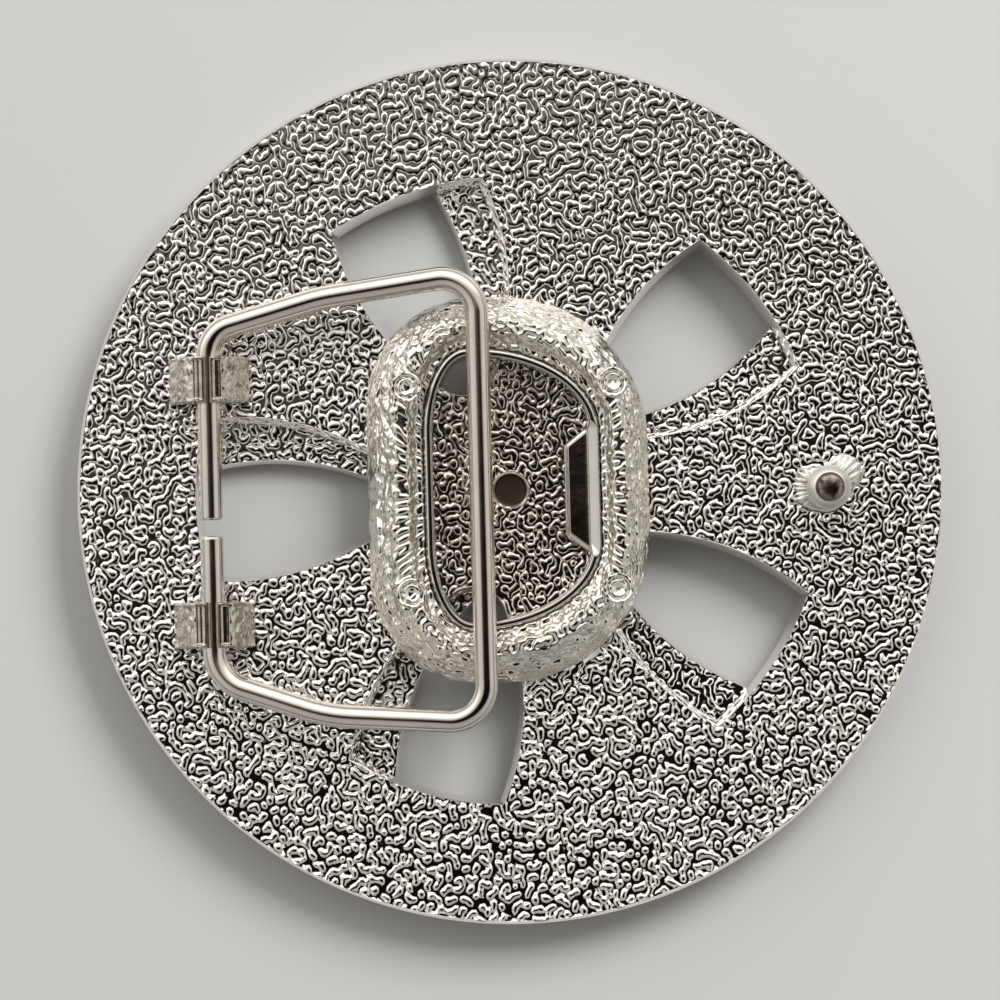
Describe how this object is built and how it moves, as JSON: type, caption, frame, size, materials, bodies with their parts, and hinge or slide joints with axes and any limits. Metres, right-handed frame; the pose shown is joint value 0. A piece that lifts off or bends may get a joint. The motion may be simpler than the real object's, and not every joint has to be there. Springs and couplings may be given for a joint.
{
  "type": "spinner belt buckle",
  "caption": "Round spinner belt buckle lying back up: window plate, turning wheel, riveted bottle opener, hinged wire bail and belt stud.",
  "frame": {"origin": "on the wheel's axis, in the plane of the front rim that the buckle rests on", "axes": "+Z out of the back face, +X from the bail towards the belt stud"},
  "size_m": [0.0952, 0.0952, 0.0124],
  "materials": {
    "plate_cast": "bright warm silver plating over a fine wrinkled casting",
    "wheel_cast": "bright warm silver plating over a fine wrinkled casting",
    "ring_cast": "bright warm silver plating over a fine wrinkled casting",
    "insert_bright": "smooth bright plating",
    "rivet_bright": "smooth bright plating, slightly worn",
    "wire_bright": "smooth bright plating on round wire",
    "stud_bright": "smooth bright plating",
    "axle_bright": "plain turned metal"
  },
  "bodies": {
    "back": {"back_plate": "plate_cast", "axle_pin": "axle_bright", "opener_ring": "ring_cast", "opener_insert": "insert_bright", "rivet_1": "rivet_bright", "rivet_2": "rivet_bright", "rivet_3": "rivet_bright", "rivet_4": "rivet_bright", "belt_stud": "stud_bright"},
    "wheel": {"spinner_wheel": "wheel_cast"},
    "bail": {"bail": "wire_bright"}
  },
  "joints": [
    {"name": "wheel_spin", "type": "hinge", "parent": "back", "child": "wheel", "pos_m": [0, 0, 0.002], "axis": [0, 0, 1], "continuous": true},
    {"name": "bail_swing", "type": "hinge", "parent": "back", "child": "bail", "pos_m": [-0.03279, -0.00086, 0.007], "axis": [0.0262, -0.9997, 0], "range_deg": [0, 170]}
  ]
}
